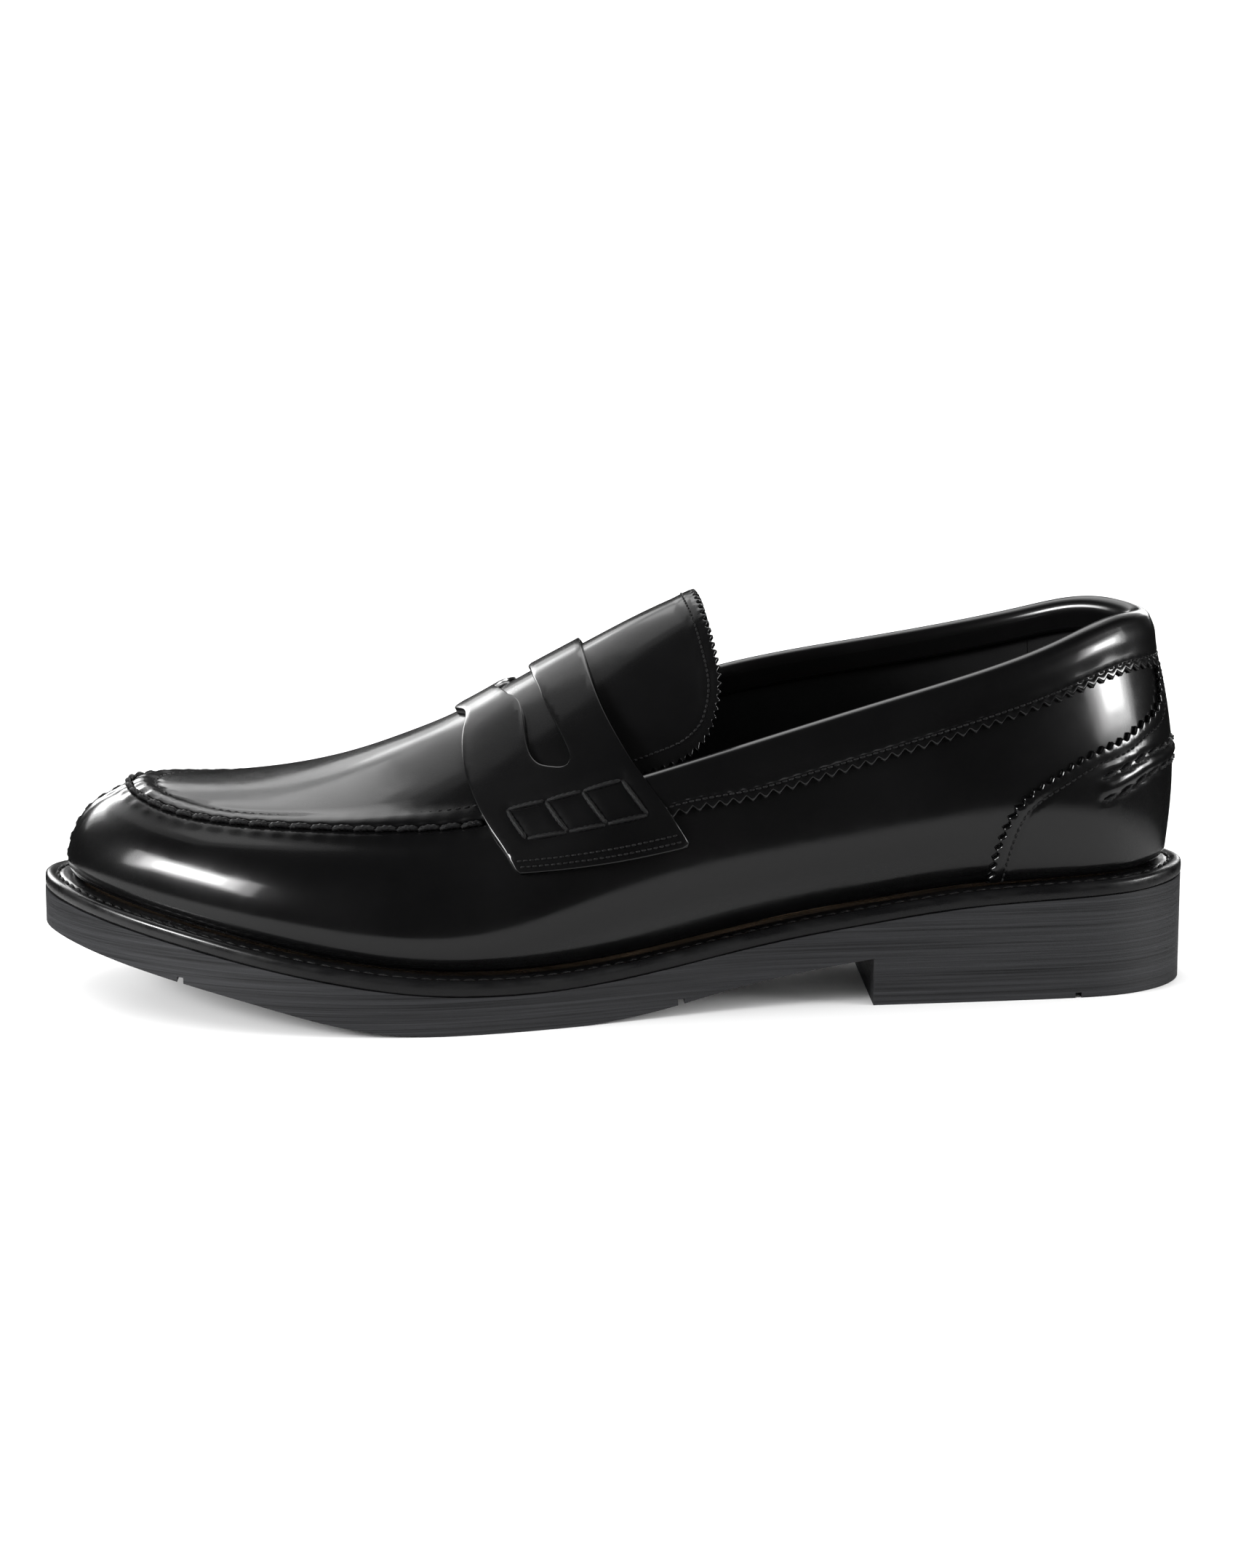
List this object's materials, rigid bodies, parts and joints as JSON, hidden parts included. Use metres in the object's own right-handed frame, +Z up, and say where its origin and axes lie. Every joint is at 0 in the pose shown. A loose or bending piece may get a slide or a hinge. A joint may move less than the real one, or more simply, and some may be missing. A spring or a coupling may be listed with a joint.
{
  "type": "penny loafer",
  "caption": "Left penny loafer in polished leather: raised apron, slotted saddle strap, padded top line, welted rubber sole with a low heel and a tongue that hinges",
  "frame": {"origin": "on the ground under the heel, at the middle of its width", "axes": "+Z up, -Y towards the toe, +X towards the outer side of a left shoe"},
  "size_m": [0.1092, 0.2998, 0.1028],
  "materials": {
    "polished_leather": "high polish",
    "lining_leather": "matte",
    "welt_leather": "painted edge",
    "sole_rubber": "milled matte",
    "thread": "waxed",
    "cork": "raw cork",
    "steel": "plain",
    "fibre_board": "pressed fibre",
    "foam": "soft foam"
  },
  "bodies": {
    "shoe": {"apron": "polished_leather", "apron_inner_stitching": "thread", "apron_lining": "lining_leather", "apron_seam_stitching": "thread", "collar_band": "polished_leather", "collar_padding": "foam", "collar_stitching": "thread", "cork_filler": "cork", "foxing_stitching": "thread", "heel_counter": "fibre_board", "heel_foxing": "polished_leather", "heel_grip": "lining_leather", "heel_pad": "lining_leather", "heel_pleat_stitching": "thread", "insole_board": "fibre_board", "lateral_quarter_lining": "lining_leather", "lateral_side_panel": "polished_leather", "medial_quarter_lining": "lining_leather", "medial_side_panel": "polished_leather", "outsole": "sole_rubber", "saddle": "polished_leather", "saddle_edge_stitching": "thread", "saddle_ladder_stitching": "thread", "shank": "steel", "sock_liner": "lining_leather", "toe_puff": "fibre_board", "toe_seam_stitching": "thread", "vamp_lining": "lining_leather", "welt": "welt_leather", "welt_stitching": "thread"},
    "tongue": {"tongue": "polished_leather", "tongue_lining": "lining_leather", "tongue_stitching": "thread"}
  },
  "joints": [
    {"name": "tongue_flex", "type": "hinge", "parent": "shoe", "child": "tongue", "pos_m": [0, -0.1244, 0.0884], "axis": [1, 0, 0], "range_deg": [-4, 35]}
  ]
}
